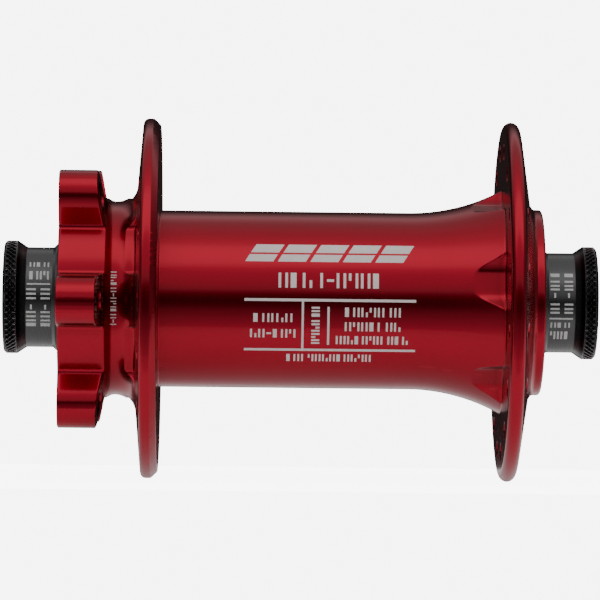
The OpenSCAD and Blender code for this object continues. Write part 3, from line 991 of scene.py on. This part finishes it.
def moulded_rubber(name, tone, roughness, grain):
    """Material: moulded rubber with a fine grain and a dull bloom in patches."""
    material = bpy.data.materials.new(name)
    material.use_nodes = True
    nodes, links = material.node_tree.nodes, material.node_tree.links
    shader = nodes["Principled BSDF"]
    marks = nodes.new("ShaderNodeGroup")
    marks.node_tree = marks_group
    marks.inputs["Spacing"].default_value = grain
    marks.inputs["Patch"].default_value = 0.003
    bloom = nodes.new("ShaderNodeMix")
    bloom.data_type = "RGBA"
    bloom.inputs["A"].default_value = (*tone, 1)
    bloom.inputs["B"].default_value = (*[t * 1.8 + 0.004 for t in tone], 1)
    gloss = nodes.new("ShaderNodeMapRange")
    gloss.inputs["To Min"].default_value = roughness
    gloss.inputs["To Max"].default_value = min(roughness * 1.3, 1)
    bump = nodes.new("ShaderNodeBump")
    bump.inputs["Strength"].default_value = 0.4
    bump.inputs["Distance"].default_value = 0.03 * MM
    links.new(marks.outputs["Tone"], bloom.inputs["Factor"])
    links.new(bloom.outputs["Result"], shader.inputs["Base Color"])
    links.new(marks.outputs["Tone"], gloss.inputs["Value"])
    links.new(gloss.outputs["Result"], shader.inputs["Roughness"])
    links.new(marks.outputs["Rings"], bump.inputs["Height"])
    links.new(bump.outputs["Normal"], shader.inputs["Normal"])
    return material


def finish(material, *names):
    """Gives CAD nodes a material."""
    for name in names:
        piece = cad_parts[name]
        piece.data.materials.clear()
        piece.data.materials.append(material)


# The edge colour is a painted highlight: grey along the sleeve's outer edges.
sleeve_black, shader = anodised(
    "sleeve_anodised", deep=(0.012, 0.012, 0.013), light=(0.022, 0.022, 0.023), edge=(0.15, 0.15, 0.15),
    roughness=0.42, spacing=0.00025, relief=0.5,
)
shader.inputs["Metallic"].default_value = 0.3
finish(sleeve_black, "axle_sleeve")
o_ring_rubber = moulded_rubber("o_ring_rubber", (0.012, 0.012, 0.012), 0.45, 0.0004)
finish(o_ring_rubber, "left_cap_o_ring", "right_cap_o_ring")
dust_seal_rubber = moulded_rubber("seal_rubber", (0.02, 0.02, 0.02), 0.6, 0.0002)
finish(dust_seal_rubber, "left_dust_seal", "right_dust_seal")

# ---- Bearings ----
# Sealed ball bearings: ground steel rings, polished balls in a pressed brass cage, and dark blue
# rubber seals moulded on thin steel washers. They are pressed into the shell and keep their CAD shapes.


def bare_metal(name, tone, dull, roughness, spacing, relief):
    """Material: ground or pressed metal with tool rings, its tone varying where oil has dried on it."""
    material = bpy.data.materials.new(name)
    material.use_nodes = True
    nodes, links = material.node_tree.nodes, material.node_tree.links
    shader = nodes["Principled BSDF"]
    shader.inputs["Metallic"].default_value = 1.0
    marks = nodes.new("ShaderNodeGroup")
    marks.node_tree = marks_group
    marks.inputs["Spacing"].default_value = spacing
    marks.inputs["Patch"].default_value = 0.004
    film = nodes.new("ShaderNodeMix")
    film.data_type = "RGBA"
    film.inputs["A"].default_value = (*tone, 1)
    film.inputs["B"].default_value = (*dull, 1)
    gloss = nodes.new("ShaderNodeMapRange")
    gloss.inputs["To Min"].default_value = roughness * 0.7
    gloss.inputs["To Max"].default_value = roughness * 1.5
    bump = nodes.new("ShaderNodeBump")
    bump.inputs["Strength"].default_value = relief
    bump.inputs["Distance"].default_value = 0.01 * MM
    links.new(marks.outputs["Tone"], film.inputs["Factor"])
    links.new(film.outputs["Result"], shader.inputs["Base Color"])
    links.new(marks.outputs["Rings"], gloss.inputs["Value"])
    links.new(gloss.outputs["Result"], shader.inputs["Roughness"])
    links.new(marks.outputs["Rings"], bump.inputs["Height"])
    links.new(bump.outputs["Normal"], shader.inputs["Normal"])
    return material


ring_steel = bare_metal("ground_steel", (0.62, 0.62, 0.63), (0.46, 0.45, 0.43), 0.22, 0.0001, 0.4)
ball_steel = bare_metal("polished_steel", (0.70, 0.70, 0.71), (0.58, 0.57, 0.56), 0.07, 0.0006, 0.05)
cage_brass = bare_metal("pressed_brass", (0.66, 0.45, 0.18), (0.48, 0.32, 0.13), 0.35, 0.0003, 0.3)
seal_rubber = moulded_rubber("bearing_seal_rubber", (0.015, 0.026, 0.075), 0.5, 0.00025)
for side in ("left", "right"):
    finish(ring_steel, side + "_bearing_outer_ring", side + "_bearing_inner_ring")
    finish(ball_steel, side + "_bearing_balls")
    finish(cage_brass, side + "_bearing_cage")
    finish(seal_rubber, side + "_bearing_inboard_seal", side + "_bearing_outboard_seal")

# ---- Floor and light ----
# A white table under the hub, a dark room level with it, and one long soft light above the front.
FLOOR_Z = shell_low.z - 0.02 * MM
FLOOR_SIZE = (0.6, 0.11, 1)
FLOOR_BACK = 0.005
FLOOR_GLOW = 0.42
FLOOR_GLOW_SEEN = 6.73
bpy.ops.object.select_all(action="DESELECT")
bpy.ops.mesh.primitive_plane_add(size=1, location=(0, 0, 0))
floor = bpy.context.object
floor.name = "floor"
bpy.ops.transform.resize(value=FLOOR_SIZE)
bpy.ops.transform.translate(value=(0, FLOOR_BACK, FLOOR_Z))
bpy.ops.object.transform_apply()
floor_material = bpy.data.materials.new("pale_floor")
floor_material.use_nodes = True
floor_nodes, floor_links = floor_material.node_tree.nodes, floor_material.node_tree.links
floor_shader = floor_nodes["Principled BSDF"]
floor_shader.inputs["Base Color"].default_value = (0.9, 0.9, 0.9, 1)
floor_shader.inputs["Roughness"].default_value = 0.8
seen = floor_nodes.new("ShaderNodeLightPath")
glow = floor_nodes.new("ShaderNodeMath")
glow.operation = "MULTIPLY_ADD"
glow.inputs[1].default_value = FLOOR_GLOW_SEEN
glow.inputs[2].default_value = FLOOR_GLOW
floor_links.new(seen.outputs["Is Camera Ray"], glow.inputs[0])
floor_shader.inputs["Emission Color"].default_value = (1, 1, 1, 1)
floor_links.new(glow.outputs[0], floor_shader.inputs["Emission Strength"])
floor.data.materials.append(floor_material)

world = bpy.data.worlds.new("studio")
bpy.context.scene.world = world
world.use_nodes = True
world_nodes, world_links = world.node_tree.nodes, world.node_tree.links
world_nodes.clear()
out = world_nodes.new("ShaderNodeOutputWorld")
around = world_nodes.new("ShaderNodeTexCoord")
split = world_nodes.new("ShaderNodeSeparateXYZ")
front = world_nodes.new("ShaderNodeMath")
front.operation = "MULTIPLY"
front.inputs[1].default_value = -1
height = world_nodes.new("ShaderNodeMath")
height.operation = "ARCTAN2"
share = world_nodes.new("ShaderNodeMapRange")
share.inputs["From Min"].default_value = -pi
share.inputs["From Max"].default_value = pi
room = world_nodes.new("ShaderNodeValToRGB")
room.color_ramp.interpolation = "EASE"
# Brightness of the room by angle: 0 is straight ahead of the hub, 90 above it, 180 behind, -90 below.
LIGHT_BANDS = (
    (-180, 0.02), (-168, 0.03), (-150, 0.45), (-100, 0.8), (-60, 1.1), (-45, 0.95), (-30, 0.6),
    (-13, 0.30), (-7, 0.03), (9, 0.02), (12, 0.8), (40, 0.95), (47, 1.85), (70, 1.85), (80, 1.1),
    (100, 0.85), (118, 0.6), (134, 0.8), (143, 0.25), (154, 0.02), (180, 0.02),
)
SEEN_WHITE = 8.5
END_GREY = 0.22
END_FADE = (0.70, 0.95)
stops = room.color_ramp.elements
for angle, value in LIGHT_BANDS:
    at = (angle + 180) / 360
    stop = stops[0] if angle == -180 else stops[-1] if angle == 180 else stops.new(at)
    stop.color = (value, value, value, 1)
lit = world_nodes.new("ShaderNodeBackground")
white = world_nodes.new("ShaderNodeBackground")
white.inputs["Strength"].default_value = SEEN_WHITE
ray = world_nodes.new("ShaderNodeLightPath")
either = world_nodes.new("ShaderNodeMixShader")
world_links.new(around.outputs["Generated"], split.inputs[0])
world_links.new(split.outputs["Y"], front.inputs[0])
world_links.new(split.outputs["Z"], height.inputs[0])
world_links.new(front.outputs[0], height.inputs[1])
world_links.new(height.outputs[0], share.inputs["Value"])
world_links.new(share.outputs["Result"], room.inputs["Fac"])
# Towards the two ends of the hub the bands run together, so they fade into an even grey there.
lengthwise = world_nodes.new("ShaderNodeMath")
lengthwise.operation = "ABSOLUTE"
fade = world_nodes.new("ShaderNodeMapRange")
fade.interpolation_type = "SMOOTHSTEP"
fade.inputs["From Min"].default_value, fade.inputs["From Max"].default_value = END_FADE
even = world_nodes.new("ShaderNodeMix")
even.data_type = "RGBA"
even.inputs["B"].default_value = (END_GREY, END_GREY, END_GREY, 1)
world_links.new(split.outputs["X"], lengthwise.inputs[0])
world_links.new(lengthwise.outputs[0], fade.inputs["Value"])
world_links.new(fade.outputs["Result"], even.inputs["Factor"])
world_links.new(room.outputs["Color"], even.inputs["A"])
world_links.new(even.outputs["Result"], lit.inputs["Color"])
world_links.new(ray.outputs["Is Camera Ray"], either.inputs["Fac"])
world_links.new(lit.outputs[0], either.inputs[1])
world_links.new(white.outputs[0], either.inputs[2])
world_links.new(either.outputs[0], out.inputs["Surface"])
